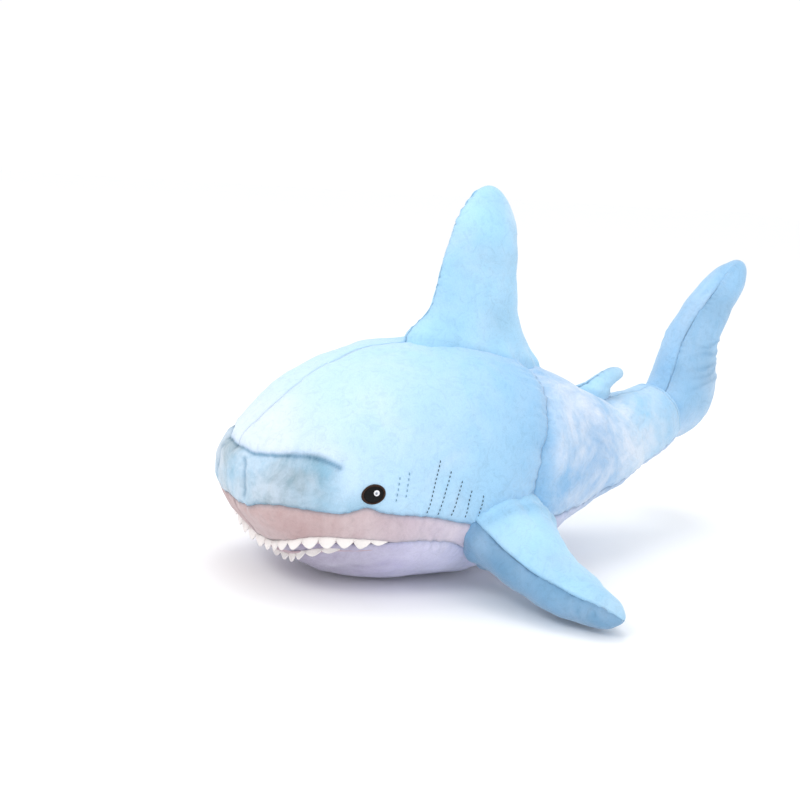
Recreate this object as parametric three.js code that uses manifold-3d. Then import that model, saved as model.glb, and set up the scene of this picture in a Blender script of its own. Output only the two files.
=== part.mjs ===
// A stuffed shark lying on its belly, with its rear body curved up and to its right.
// Millimetres, +Z up, nose towards -Y, the shark's left flank towards +X.
// The origin is in the middle of the flat of the belly, where the toy rests.
import * as THREE from 'three';
import { mergeVertices } from 'three/addons/utils/BufferGeometryUtils.js';
import Module from 'manifold-3d';

const wasm = await Module();
wasm.setup();

// ---------------------------------------------------------------- driving dimensions
const SKIN = 3;                  // thickness of a plush panel with its backing
const GAP = 0.3;                 // clearance between neighbouring pieces
const BELLY_AT = 216;            // distance from the nose to the origin, along the spine
const AXIS_HEIGHT = 100;         // height of the spine line above the floor at the nose
const SECTION_POWER = 2.3;       // 2 is an oval section, more is squarer
const WIDEST_AT = 0.45;          // height of the widest place, as a share of the section

// Body sections: distance along the spine, top, bottom, half width.
const BODY = [
  [0, 128, 106, 4], [5, 146, 92, 46], [17, 161, 73, 70], [36, 181, 51, 91], [65, 209, 30, 111],
  [111, 239, 7, 127], [174, 260, -5, 139], [258, 269, -5, 141], [342, 258, 11, 126],
  [416, 223, 40, 99], [489, 185, 57, 74], [563, 160, 65, 52], [626, 147, 65, 42],
];
// The spine's turn to the right and its rise, in degrees.
const SPINE = [[0, 0, 0], [258, 0, 0], [416, 4, 6], [531, 10, 13], [626, 18, 24]];
const TAIL_END = 626;            // where the tail stalk ends, along the spine
const BODY_RINGS = 17;           // rings of points along the body
const BODY_SIDES = 22;           // points round each ring
const RING_CROWDING = 1.45;      // 1 spaces the rings evenly, more crowds them at the nose

// Where the blue back meets the cream underside: distance along the spine, height.
const LIP_LINE = [
  [-20, 86], [6, 88], [14, 99], [32, 103], [57, 102], [84, 101], [97, 104], [112, 109], [126, 104],
  [150, 100], [181, 98], [222, 88], [300, 74], [400, 74], [520, 78], [660, 80],
];
const BELLY_LINE = [[100, 70], [151, 70], [158, 70], [209, 66], [248, 52], [330, 46], [480, 46]];

// Mouth: an arched cut that drops towards its corners, where the lower jaw folds.
const MOUTH_FRONT = { at: 50, height: 43 };
const MOUTH_ARCH = { rise: 35, halfWidth: 110 };
const MOUTH_SLOPE = 0.22;
const JAW_HINGE = { at: 144, height: 70 };
const JAW_OPENS = 12;            // degrees
const MOUTH_GAP = 8;             // between the lips, mouth at rest
const LINING = 2;                // cloth lining the roof and the floor of the mouth
const JAW_CLEARANCE = 1;         // between the jaw and the torso behind it
const TOOTH_TUCK = 3;            // how far the lower teeth start below the chin's edge
const FIN_FILL_GAP = 1;          // between a fin's panels and its filling

// Body bend, about an upright axis behind the dorsal fin.
const BEND = { at: 504, radius: 101, clearance: 1.5 };

// Felt strips: scallops, how far they hang, the felt, how far back along the spine they reach,
// how far out of the skin their top and bottom edges lie, how far below the mouth's arch they start.
const TOOTH = {
  count: 22, drop: 11, thick: 1.5, corner: 138, topOut: 0, bottomOut: 4.2, lower: 1.8,
};
const LOWER_TOOTH = {
  count: 14, drop: 9, thick: 1.5, corner: 92, topOut: 2.2, bottomOut: 2.4,
  lower: MOUTH_GAP + TOOTH_TUCK,
};

// Eye: an oval of half sizes in mm, its long axis tilted up towards the tail in degrees.
const EYE = { at: 116, angle: 86, long: 12.5, short: 10, tilt: 14 };
// Its layers: name, height above the skin from and to, size as a share of the rim.
const EYE_LAYERS = { rim: [GAP, 1.3, 1], pupil: [1.6, 2.6, 0.84], highlight: [2.9, 3.6, 0.22] };
// Gill stitches: top place along the spine and height, then bottom place and height.
const GILL_HALF_WIDTH = 1.6;
const GILL_HEIGHT = 1.5;
const GILLS = [
  [189, 161, 177, 106], [203, 149, 190, 102], [216, 138, 206, 96], [229, 125, 223, 94],
  [243, 118, 240, 89],
];

const COLOUR = {
  blue: 0x9cc8e4, paleBlue: 0xb7d6ec, cream: 0xdccfc6, belly: 0xdcdcf0, felt: 0xf2f0ee,
  lining: 0xb79a86, black: 0x141414, rim: 0xb9a48f, white: 0xf8f8f8, thread: 0x55626e,
  stuffing: 0xf4f4f4,
};

// ---------------------------------------------------------------- curves and the body's surface
const rad = (degrees) => (degrees * Math.PI) / 180;
const vec = (x, y, z) => new THREE.Vector3(x, y, z);

// A smooth curve through points that never overshoots them.
function through(points, column = 1) {
  const xs = points.map((p) => p[0]);
  const ys = points.map((p) => p[column]);
  const last = xs.length - 1;
  const slopes = xs.slice(1).map((x, i) => (ys[i + 1] - ys[i]) / (x - xs[i]));
  const tangents = xs.map((x, i) => {
    if (i === 0) return slopes[0];
    if (i === last) return slopes[last - 1];
    if (slopes[i - 1] * slopes[i] <= 0) return 0;
    const before = 2 * (xs[i + 1] - x) + (x - xs[i - 1]);
    const after = (xs[i + 1] - x) + 2 * (x - xs[i - 1]);
    return (before + after) / (before / slopes[i - 1] + after / slopes[i]);
  });
  return (x) => {
    const at = Math.min(Math.max(x, xs[0]), xs[last]);
    let i = 0;
    while (i < last - 1 && at > xs[i + 1]) i += 1;
    const h = xs[i + 1] - xs[i];
    const t = (at - xs[i]) / h;
    return (2 * t ** 3 - 3 * t ** 2 + 1) * ys[i] + (t ** 3 - 2 * t ** 2 + t) * h * tangents[i]
      + (-2 * t ** 3 + 3 * t ** 2) * ys[i + 1] + (t ** 3 - t ** 2) * h * tangents[i + 1];
  };
}

const bodyTop = through(BODY, 1);
const bodyBottom = through(BODY, 2);
const bodyWidth = through(BODY, 3);
const spineYaw = through(SPINE, 1);
const spinePitch = through(SPINE, 2);
const lipHeight = through(LIP_LINE);
const bellyHeight = through(BELLY_LINE);

function spineForward(at) {
  const yaw = rad(spineYaw(at));
  const pitch = rad(spinePitch(at));
  return vec(-Math.sin(yaw) * Math.cos(pitch), Math.cos(yaw) * Math.cos(pitch), Math.sin(pitch));
}

// The spine as a chain of 1 mm steps, worked out once.
const spineChain = [vec(0, -BELLY_AT, AXIS_HEIGHT)];
for (let at = 0; at < TAIL_END + 40; at += 1) {
  spineChain.push(spineChain[at].clone().add(spineForward(Math.min(at + 0.5, TAIL_END))));
}

// The spine's place and directions at a distance from the nose.
function spineFrame(at) {
  const whole = Math.min(Math.max(Math.floor(at), 0), spineChain.length - 2);
  const yaw = rad(spineYaw(at));
  const forward = spineForward(at);
  const left = vec(Math.cos(yaw), Math.sin(yaw), 0);
  const up = new THREE.Vector3().crossVectors(left, forward);
  const centre = spineChain[whole].clone().addScaledVector(forward, at - whole);
  return { centre, forward, left, up };
}

// A point given along the spine, above the floor line, and to the left of the spine.
function spinePoint(at, height, leftBy = 0) {
  const { centre, left, up } = spineFrame(at);
  return centre.addScaledVector(up, height - AXIS_HEIGHT).addScaledVector(left, leftBy);
}

const powered = (value) => Math.sign(value) * Math.abs(value) ** (2 / SECTION_POWER);

// The skin: angle 0 is the ridge of the back, 90 degrees the left flank, 180 the belly.
function skinPoint(at, angle) {
  const top = bodyTop(at);
  const bottom = bodyBottom(at);
  const middle = top * WIDEST_AT + bottom * (1 - WIDEST_AT);
  const reach = Math.cos(angle) > 0 ? top - middle : middle - bottom;
  const height = middle + reach * powered(Math.cos(angle));
  return spinePoint(at, height, bodyWidth(at) * powered(Math.sin(angle)));
}

// The direction straight out of the skin.
function skinNormal(at, angle) {
  const step = 0.5;
  const turn = rad(1);
  const along = skinPoint(Math.min(at + step, TAIL_END), angle)
    .sub(skinPoint(Math.max(at - step, 0.01), angle));
  const around = skinPoint(at, angle + turn).sub(skinPoint(at, angle - turn));
  return new THREE.Vector3().crossVectors(around, along).normalize();
}

// The skin pushed out by a distance, or in if it is negative, flattened where it rests.
function offsetPoint(at, angle, out) {
  const point = skinPoint(at, angle).addScaledVector(skinNormal(at, angle), out);
  point.z = Math.max(point.z, -out);
  return point;
}

// ---------------------------------------------------------------- solids
// A closed solid from rings of points, with a middle point closing each end.
function ringSolid(rings) {
  const sides = rings[0].length;
  const points = rings.flat();
  const faces = [];
  for (let i = 0; i < rings.length - 1; i += 1) {
    for (let j = 0; j < sides; j += 1) {
      const k = (j + 1) % sides;
      const [a, b, c, d] = [i * sides + j, i * sides + k, (i + 1) * sides + k, (i + 1) * sides + j];
      faces.push(a, b, c, a, c, d);
    }
  }
  const closeEnd = (ring, first, flip) => {
    const middle = points.length;
    points.push(ring.reduce((sum, p) => sum.add(p), vec(0, 0, 0)).divideScalar(sides));
    for (let j = 0; j < sides; j += 1) {
      const pair = [first + j, first + ((j + 1) % sides)];
      if (flip) pair.reverse();
      faces.push(pair[0], pair[1], middle);
    }
  };
  closeEnd(rings[0], 0, true);
  closeEnd(rings.at(-1), (rings.length - 1) * sides, false);
  return toSolid(points.flatMap((p) => p.toArray()), faces);
}

function toSolid(vertProperties, triVerts) {
  const mesh = new wasm.Mesh({
    numProp: 3,
    vertProperties: new Float32Array(vertProperties),
    triVerts: new Uint32Array(triVerts),
  });
  const solid = new wasm.Manifold(mesh);
  return solid.volume() < 0 ? toSolid(vertProperties, flipped(triVerts)) : solid;
}

function flipped(triVerts) {
  const faces = [];
  for (let i = 0; i < triVerts.length; i += 3) {
    faces.push(triVerts[i], triVerts[i + 2], triVerts[i + 1]);
  }
  return faces;
}

// A three.js geometry as a solid.
function fromGeometry(geometry, matrix) {
  const plain = geometry.clone();
  plain.deleteAttribute('normal');
  plain.deleteAttribute('uv');
  const merged = mergeVertices(plain, 1e-4);
  if (matrix) merged.applyMatrix4(matrix);
  return toSolid(Array.from(merged.attributes.position.array), Array.from(merged.index.array));
}

// An outline drawn in two directions and extruded along the third.
function prism(outline, basis, depth) {
  const shape = new THREE.Shape(outline.map(([x, y]) => new THREE.Vector2(x, y)));
  const geometry = new THREE.ExtrudeGeometry(shape, { depth, bevelEnabled: false });
  return fromGeometry(geometry, basis);
}

const WIDE = 400;                // beyond the toy in any direction
const LINE_STEP = 12;            // between the points of an outline along the spine
// Side view: outline points are (y, z), extruded across the whole width.
const sideBasis = new THREE.Matrix4().makeBasis(vec(0, 1, 0), vec(0, 0, 1), vec(1, 0, 0));
sideBasis.setPosition(-WIDE / 2, 0, 0);
const sidePrism = (outline) => prism(outline, sideBasis, WIDE);
// Plan view: outline points are (x, y), extruded upwards.
const planBasis = new THREE.Matrix4().setPosition(0, 0, -WIDE / 2);
const planPrism = (outline) => prism(outline, planBasis, 3 * WIDE);
// Front view: outline points are (x, z), extruded backwards.
const frontBasis = new THREE.Matrix4().makeBasis(vec(1, 0, 0), vec(0, 0, 1), vec(0, -1, 0));

// Everything below a line given along the spine in side view.
function below(heightAt, from, to, lower = 0) {
  const line = [];
  for (let at = from; at <= to; at += LINE_STEP) {
    const point = spinePoint(at, heightAt(at) - lower);
    line.push([point.y, point.z]);
  }
  return sidePrism([...line, [line.at(-1)[0], -WIDE], [line[0][0], -WIDE]]);
}

// Everything to one side of the spine, side being 1 for left and -1 for right.
function besideSpine(side) {
  const line = [[side * GAP / 2, -WIDE]];
  for (let at = 0; at <= TAIL_END + 30; at += LINE_STEP) {
    const point = spinePoint(at, AXIS_HEIGHT, side * GAP / 2);
    line.push([point.x, point.y]);
  }
  return planPrism([...line, [side * WIDE, line.at(-1)[1]], [side * WIDE, -WIDE]]);
}

const NOSE_START = 0.4;

// The whole body at an offset from the skin.
function bodySolid(out) {
  const rings = [];
  for (let i = 0; i <= BODY_RINGS; i += 1) {
    const at = NOSE_START + (TAIL_END - NOSE_START) * (i / BODY_RINGS) ** RING_CROWDING;
    const ring = [];
    for (let j = 0; j < BODY_SIDES; j += 1) {
      ring.push(offsetPoint(at, (2 * Math.PI * j) / BODY_SIDES, out));
    }
    rings.push(ring);
  }
  const end = spineForward(TAIL_END);
  rings.at(-1).forEach((point) => point.addScaledVector(end, out));
  return ringSolid(rings);
}

// ---------------------------------------------------------------- the mouth
const CHEEK = 160;               // half width of the mouth's cut, out past the cheeks
const JAW_DEPTH = 140;           // from above the jaw's hinge to below its floor
const toY = (at) => at - BELLY_AT;

function mouthHeight(x, at) {
  const arch = MOUTH_ARCH.rise * (x / MOUTH_ARCH.halfWidth) ** 2;
  return MOUTH_FRONT.height + arch - MOUTH_SLOPE * (at - MOUTH_FRONT.at);
}

// Everything below the mouth's arch, lowered, from the snout back to a place behind the hinge.
function belowMouth(lower, to = JAW_HINGE.at) {
  const arch = [];
  for (let x = -CHEEK; x <= CHEEK; x += CHEEK / 8) {
    arch.push([x, mouthHeight(x, MOUTH_FRONT.at) - lower]);
  }
  const outline = [...arch, [CHEEK, -WIDE], [-CHEEK, -WIDE]];
  const aheadOfNose = 60;
  const shear = new THREE.Matrix4().set(
    1, 0, 0, 0,
    0, 1, 0, 0,
    0, -MOUTH_SLOPE, 1, MOUTH_SLOPE * toY(MOUTH_FRONT.at),
    0, 0, 0, 1,
  );
  const place = frontBasis.clone().setPosition(0, toY(to), 0);
  return prism(outline, shear.multiply(place), to + aheadOfNose);
}

// The room that the lower jaw takes and moves in: everything under the mouth, in front of the
// hinge, with a wedge behind it so that the jaw can swing open.
function jawRoom(lower, wedge) {
  const y = toY(JAW_HINGE.at);
  const z = JAW_HINGE.height;
  const swing = Math.tan(rad(wedge)) * JAW_DEPTH;
  const front = sidePrism([
    [-WIDE, -WIDE], [-WIDE, WIDE], [y, WIDE], [y, z], [y + swing, z - JAW_DEPTH],
  ]);
  return belowMouth(lower, JAW_HINGE.at + 40).intersect(front);
}

// The skin's angle where it meets the mouth's arch, a distance from the nose.
function mouthAngle(at, lower) {
  let [high, low] = [Math.PI / 2, Math.PI];
  for (let i = 0; i < 40; i += 1) {
    const middle = (high + low) / 2;
    const point = skinPoint(at, middle);
    if (point.z > mouthHeight(point.x, at) - lower) high = middle;
    else low = middle;
  }
  return (high + low) / 2;
}

// Evenly spaced places round the mouth's edge, from its right corner to its left one.
function mouthPath(count, lower, corner) {
  const dense = 200;
  let front = 0;
  while (bodyBottom(front) > mouthHeight(0, front) - lower) front += 0.1;
  const leftHalf = [];
  for (let i = 0; i <= dense; i += 1) {
    const at = front + (corner - front) * (i / dense) ** 3;
    leftHalf.push({ at, angle: mouthAngle(at, lower) });
  }
  const mirrored = leftHalf.map(({ at, angle }) => ({ at, angle: 2 * Math.PI - angle }));
  const whole = [...mirrored.slice(1).reverse(), ...leftHalf];
  const walked = [0];
  for (let i = 1; i < whole.length; i += 1) {
    const [a, b] = [whole[i - 1], whole[i]].map(({ at, angle }) => skinPoint(at, angle));
    walked.push(walked[i - 1] + a.distanceTo(b));
  }
  return Array.from({ length: count + 1 }, (_, k) => {
    const goal = (walked.at(-1) * k) / count;
    const i = Math.max(walked.findIndex((length) => length >= goal - 1e-6), 1);
    const share = (goal - walked[i - 1]) / (walked[i] - walked[i - 1]);
    const mix = (key) => whole[i - 1][key] + (whole[i][key] - whole[i - 1][key]) * share;
    return { at: mix('at'), angle: mix('angle') };
  });
}

const STEPS_PER_TOOTH = 4;

// A scalloped felt strip: it hangs from the lip's edge and leans outwards.
function teethStrip({ count, drop, thick, corner, topOut, bottomOut, lower }) {
  const steps = count * STEPS_PER_TOOTH;
  const rings = mouthPath(steps, lower, corner).map(({ at, angle }, i) => {
    const share = i / steps;
    const scallop = 0.45 + 0.55 * Math.abs(Math.sin(Math.PI * count * share));
    const ends = Math.min(1, 0.3 + 6 * Math.min(share, 1 - share));
    const depth = drop * scallop * ends;
    const inner = offsetPoint(at, angle, topOut - thick);
    const outer = offsetPoint(at, angle, topOut);
    const outwards = skinNormal(at, angle).setZ(0).normalize();
    const fall = outwards.multiplyScalar((bottomOut - topOut) * ends).add(vec(0, 0, -depth));
    return [inner, outer, outer.clone().add(fall), inner.clone().add(fall)];
  });
  return ringSolid(rings);
}

// ---------------------------------------------------------------- fins
// A stuffed fin is an oval section swept along a path. Stations give chord and thickness along
// the path. It is rounded off at its tip, and at its root either in thickness only or in both.
function makeFin({ path, chords, stations, rootRound, tipRound, rootCloses = false }) {
  return {
    curve: new THREE.CatmullRomCurve3(path, false, 'centripetal'),
    chordAt: (t) => chords[0].clone().lerp(chords[1], t),
    chord: through(stations, 1),
    thickness: through(stations, 2),
    rootRound,
    tipRound,
    rootCloses,
  };
}

const rounded = (distance, length) => Math.sqrt(1 - (1 - Math.min(distance / length, 1)) ** 2);

// The fin's middle line, chord and flat directions at a share of its length.
function finFrame(fin, t) {
  const along = fin.curve.getTangentAt(t);
  const chord = fin.chordAt(t).normalize();
  const flat = new THREE.Vector3().crossVectors(along, chord).normalize();
  return { centre: fin.curve.getPointAt(t), along, chord, flat };
}

// side 0 is the whole fin, 1 the half on the flat direction's side, -1 the other half.
function finSolid(fin, inset, side) {
  const ringCount = 8;
  const arcCount = side === 0 ? 12 : 7;
  const length = fin.curve.getLength();
  const margin = inset / length;
  const rings = [];
  for (let i = 0; i <= ringCount; i += 1) {
    const eased = 0.5 - 0.5 * Math.cos(Math.PI * (i / ringCount));
    const t = margin + (1 - 2 * margin) * (0.002 + 0.996 * eased);
    const { centre, chord, flat } = finFrame(fin, t);
    const root = rounded(t - margin, fin.rootRound / length);
    const tip = rounded(1 - margin - t, fin.tipRound / length);
    const halfChord = Math.max((fin.chord(t) / 2 - inset) * tip * (fin.rootCloses ? root : 1), 1);
    const halfThick = Math.max((fin.thickness(t) / 2 - inset) * tip * root, 0.8);
    const ring = [];
    for (let j = 0; j < arcCount; j += 1) {
      const angle = side === 0 ? (2 * Math.PI * j) / arcCount : (Math.PI * j) / (arcCount - 1);
      const across = halfThick * Math.sin(angle) * (side || 1) + (side * GAP) / 2;
      const edge = centre.clone().addScaledVector(chord, -halfChord * Math.cos(angle));
      ring.push(edge.addScaledVector(flat, across));
    }
    rings.push(ring);
  }
  return ringSolid(rings);
}

// ---------------------------------------------------------------- nodes
const shark = new THREE.Group();

function addNode(name, solid, colour, roughness = 0.95) {
  const { vertProperties, triVerts } = solid.getMesh();
  const geometry = new THREE.BufferGeometry();
  geometry.setAttribute('position', new THREE.BufferAttribute(vertProperties, 3));
  geometry.setIndex(new THREE.BufferAttribute(triVerts, 1));
  geometry.computeVertexNormals();
  const material = new THREE.MeshStandardMaterial({ color: colour, roughness, metalness: 0 });
  const mesh = new THREE.Mesh(geometry, material);
  mesh.name = name;
  shark.add(mesh);
}

const outside = bodySolid(0);
const filled = bodySolid(-SKIN - GAP);
const shell = outside.subtract(bodySolid(-SKIN));
const leftSide = besideSpine(1);
const rightSide = besideSpine(-1);
const SIDES = [['left', leftSide, 1], ['right', rightSide, -1]];

// The bend: an upright cylinder round the bend axis, and all that lies behind it.
const bendPoint = spinePoint(BEND.at, AXIS_HEIGHT);
function behindBend(extra) {
  const { x, y } = bendPoint;
  const radius = BEND.radius + extra;
  const cylinder = new THREE.CylinderGeometry(radius, radius, 2 * WIDE, 48);
  const place = new THREE.Matrix4().makeRotationX(Math.PI / 2).setPosition(x, y, 0);
  const rest = sidePrism([[y, -WIDE], [2 * WIDE, -WIDE], [2 * WIDE, WIDE], [y, WIDE]]);
  return fromGeometry(cylinder, place).add(rest);
}
const rearRoom = behindBend(BEND.clearance / 2);
const rearPart = behindBend(-BEND.clearance / 2);

// Torso and head.
const belowLip = below(lipHeight, -20, TAIL_END + 28);
const belowLipGap = below(lipHeight, -20, TAIL_END + 28, GAP);
const notTorso = rearRoom.add(jawRoom(0, JAW_OPENS + 1));
const torsoShell = shell.subtract(notTorso);
const torsoFill = filled.subtract(notTorso);
const mouthEnd = toY(JAW_HINGE.at) + JAW_CLEARANCE;
const behindMouth = sidePrism([[mouthEnd, -WIDE], [WIDE, -WIDE], [WIDE, WIDE], [mouthEnd, WIDE]]);
const bellyRoom = below(bellyHeight, 100, 460).intersect(behindMouth);
const bellyPart = below(bellyHeight, 100, 460, GAP).intersect(behindMouth.translate(0, GAP, 0));

addNode('body_filling', torsoFill, COLOUR.stuffing);
for (const [name, half] of SIDES) {
  addNode(`back_panel_${name}`, torsoShell.subtract(belowLip).intersect(half), COLOUR.blue);
  const lip = torsoShell.intersect(belowLipGap).subtract(bellyRoom);
  addNode(`lip_panel_${name}`, lip.intersect(half), COLOUR.cream);
}
addNode('belly_panel', torsoShell.intersect(bellyPart), COLOUR.belly);

// Mouth linings and the lower jaw.
const liningRoof = belowMouth(GAP).subtract(belowMouth(GAP + LINING));
addNode('mouth_roof_lining', filled.intersect(liningRoof), COLOUR.lining);
const jawUnder = (lower) => jawRoom(MOUTH_GAP + lower, 0).translate(0, -JAW_CLEARANCE, 0);
const jawPart = jawUnder(0);
for (const [name, half] of SIDES) {
  addNode(`chin_panel_${name}`, shell.intersect(jawPart).intersect(half), COLOUR.belly);
}
addNode('jaw_filling', filled.intersect(jawUnder(LINING + GAP)), COLOUR.stuffing);
const liningFloor = jawPart.subtract(jawUnder(LINING));
addNode('mouth_floor_lining', filled.intersect(liningFloor), COLOUR.lining);

addNode('upper_teeth', teethStrip(TOOTH), COLOUR.felt);
addNode('lower_teeth', teethStrip(LOWER_TOOTH), COLOUR.felt);

// Eyes and gill stitches lie on the skin.
function skinLayer(from, to) {
  return bodySolid(to).subtract(bodySolid(from));
}

const FLANK_FROM = 60;
const FLANK_TO = 200;

// A prism through one flank, its outline drawn along and up.
function flankPrism(outline, side) {
  const basis = new THREE.Matrix4().makeBasis(vec(0, 1, 0), vec(0, 0, 1), vec(1, 0, 0));
  basis.setPosition(side > 0 ? FLANK_FROM : -FLANK_TO, 0, 0);
  return prism(outline, basis, FLANK_TO - FLANK_FROM);
}

function oval(centre, long, short, tilt, count = 14) {
  return Array.from({ length: count }, (_, i) => {
    const angle = (2 * Math.PI * i) / count;
    const [along, up] = [long * Math.cos(angle), short * Math.sin(angle)];
    return [
      centre.y + along * Math.cos(tilt) - up * Math.sin(tilt),
      centre.z + along * Math.sin(tilt) + up * Math.cos(tilt),
    ];
  });
}

const eyeCentre = skinPoint(EYE.at, rad(EYE.angle));
const eyeColours = { rim: COLOUR.rim, pupil: COLOUR.black, highlight: COLOUR.white };
const gillLayer = skinLayer(GAP, GILL_HEIGHT);
for (const [name, , side] of SIDES) {
  for (const [part, [from, to, size]] of Object.entries(EYE_LAYERS)) {
    const outline = oval(eyeCentre, EYE.long * size, EYE.short * size, rad(EYE.tilt));
    const solid = skinLayer(from, to).intersect(flankPrism(outline, side));
    addNode(`eye_${part}_${name}`, solid, eyeColours[part], part === 'rim' ? 0.8 : 0.35);
  }
  GILLS.forEach(([topAt, topHeight, lowAt, lowHeight], i) => {
    const outline = [
      [toY(topAt) - GILL_HALF_WIDTH, topHeight], [toY(topAt) + GILL_HALF_WIDTH, topHeight],
      [toY(lowAt) + GILL_HALF_WIDTH, lowHeight], [toY(lowAt) - GILL_HALF_WIDTH, lowHeight],
    ];
    const solid = gillLayer.intersect(flankPrism(outline, side));
    addNode(`gill_stitch_${name}_${i + 1}`, solid, COLOUR.thread);
  });
}

// Rear body.
const rearShell = shell.intersect(rearPart);
addNode('rear_filling', filled.intersect(rearPart), COLOUR.stuffing);
for (const [name, half] of SIDES) {
  addNode(`rear_back_panel_${name}`, rearShell.subtract(belowLip).intersect(half), COLOUR.paleBlue);
  addNode(`rear_belly_panel_${name}`, rearShell.intersect(belowLipGap).intersect(half), COLOUR.belly);
}

// ---------------------------------------------------------------- the five fins
function addFin(name, fin, halves, colour) {
  const inner = finSolid(fin, SKIN, 0);
  for (const [half, side] of halves) {
    addNode(`${name}_${half}_panel`, finSolid(fin, 0, side).subtract(inner), colour);
  }
  addNode(`${name}_filling`, finSolid(fin, SKIN + FIN_FILL_GAP, 0), COLOUR.stuffing);
}

const PECTORAL = {
  path: [[135, 78, 66], [186, 88, 43], [236, 106, 28], [284, 125, 21]],
  chords: [[-0.12, 0.99, 0], [-0.3, 0.9, -0.12]],
  stations: [[0, 104, 48], [0.25, 96, 60], [0.6, 74, 50], [1, 47, 37]],
  rootRound: 24, tipRound: 62,
};
for (const side of [1, -1]) {
  const mirror = ([x, y, z]) => vec(side * x, y, z);
  const path = PECTORAL.path.map(mirror);
  const chords = PECTORAL.chords.map(mirror);
  const name = side > 0 ? 'pectoral_left' : 'pectoral_right';
  addFin(name, makeFin({ ...PECTORAL, path, chords }), [['top', side], ['bottom', -side]], COLOUR.blue);
}

const dorsal = makeFin({
  path: [vec(0, 84, 272), vec(-5, 85, 330), vec(-13, 92, 390), vec(-26, 99, 443)],
  chords: [vec(0, 1, -0.2), vec(0, 1, 0.05)],
  stations: [[0, 146, 44], [0.16, 113, 60], [0.35, 101, 57], [0.6, 86, 50], [1, 54, 36]],
  rootRound: 22, tipRound: 50,
});
addFin('dorsal', dorsal, [['right', 1], ['left', -1]], COLOUR.blue);

// The second dorsal fin's points are given along the ridge of the back and up from it.
const SECOND_DORSAL_AT = 504;
const ridge = spineFrame(SECOND_DORSAL_AT);
const ridgeTop = bodyTop(SECOND_DORSAL_AT);
const ridgePoint = ([along, up]) => (
  spinePoint(SECOND_DORSAL_AT, ridgeTop + up).addScaledVector(ridge.forward, along)
);
const ridgeChord = (drop) => ridge.forward.clone().addScaledVector(ridge.up, -drop);
const secondDorsal = makeFin({
  path: [[2, 10], [15, 15], [31, 19], [47, 23]].map(ridgePoint),
  chords: [ridgeChord(0.26), ridgeChord(0.4)],
  stations: [[0, 44, 20], [0.3, 34, 24], [0.7, 27, 23], [1, 24, 20]],
  rootRound: 12, tipRound: 15,
});
addFin('second_dorsal', secondDorsal, [['right', 1], ['left', -1]], COLOUR.blue);

// The tail's points are given along the stalk's end, up from it, and to its left.
const stalk = spineFrame(TAIL_END);
function tailPoint([along, up, left]) {
  const point = stalk.centre.clone().addScaledVector(stalk.forward, along);
  return point.addScaledVector(stalk.up, up).addScaledVector(stalk.left, left);
}
const tail = makeFin({
  path: [[92, -58, -80], [74, -46, -30], [62, -4, 0], [90, 80, 12], [176, 152, 38]].map(tailPoint),
  chords: [stalk.forward.clone(), stalk.forward.clone().addScaledVector(stalk.up, -0.6)],
  stations: [[0, 60, 44], [0.2, 84, 58], [0.38, 102, 70], [0.7, 76, 54], [1, 46, 40]],
  rootRound: 36, tipRound: 46, rootCloses: true,
});
addFin('tail', tail, [['right', 1], ['left', -1]], COLOUR.blue);

export default shark;
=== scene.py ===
"""A stuffed plush shark lying on its belly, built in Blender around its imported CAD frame.

Lengths are in millimetres up to the moment a mesh is made, and in metres after it.
s is the distance from the nose along the spine, and a is the angle round the body:
0 on the ridge of the back, 90 on the left flank, 180 on the belly, 270 on the right flank.
"""

import math

import bpy
import numpy as np
from mathutils import Matrix, Vector
from mathutils.kdtree import KDTree


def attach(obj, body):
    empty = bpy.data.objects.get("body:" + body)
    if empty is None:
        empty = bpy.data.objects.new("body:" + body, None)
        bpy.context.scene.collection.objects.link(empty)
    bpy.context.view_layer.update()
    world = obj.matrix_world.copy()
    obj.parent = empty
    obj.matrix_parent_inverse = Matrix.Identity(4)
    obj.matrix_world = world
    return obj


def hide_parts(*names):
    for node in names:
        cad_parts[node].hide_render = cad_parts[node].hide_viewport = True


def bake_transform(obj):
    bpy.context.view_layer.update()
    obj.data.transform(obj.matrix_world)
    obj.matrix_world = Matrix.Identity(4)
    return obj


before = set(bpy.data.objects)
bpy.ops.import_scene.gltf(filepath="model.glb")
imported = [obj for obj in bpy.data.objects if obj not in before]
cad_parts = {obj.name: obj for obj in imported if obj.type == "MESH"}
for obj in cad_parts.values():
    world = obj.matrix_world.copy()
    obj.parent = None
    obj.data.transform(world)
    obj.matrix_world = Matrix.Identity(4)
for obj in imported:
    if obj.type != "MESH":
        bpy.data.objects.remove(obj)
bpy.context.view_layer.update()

MM = 0.001

# -------- driving dimensions
BELLY_AT = 216
AXIS_HEIGHT = 100
SECTION_POWER = 2.3
WIDEST_AT = 0.45
TAIL_END = 626
PANEL = 3.0  # plush with its backing
FELT = 1.3
FIN_PANEL = 2.4
LINING = 1.5
THREADS_PER_METRE = 2600

# Body sections: s, top, bottom, half width.
BODY = [
    (0, 128, 106, 4), (5, 146, 92, 46), (17, 161, 73, 70), (36, 181, 51, 91),
    (65, 209, 30, 111), (111, 239, 7, 127), (174, 260, -5, 139), (258, 269, -5, 141),
    (342, 258, 11, 126), (416, 223, 40, 99), (489, 185, 57, 74), (563, 160, 65, 52),
    (626, 147, 65, 42),
]
# The spine's turn to the right and its rise, in degrees.
SPINE = [(0, 0, 0), (258, 0, 0), (416, 4, 6), (531, 10, 13), (626, 18, 24)]

# Seam between the blue back and what lies under it: s, height.
LIP_LINE = [
    (-20, 86), (6, 88), (14, 99), (32, 103), (57, 102), (84, 101), (97, 104), (112, 109),
    (126, 104), (150, 100), (181, 98), (222, 88), (300, 74), (400, 74), (520, 78), (660, 80),
]
# Seam between the cream flank and the belly: s, height.
BELLY_LINE = [(100, 70), (151, 70), (158, 70), (209, 66), (248, 52), (330, 46), (480, 46)]
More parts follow.
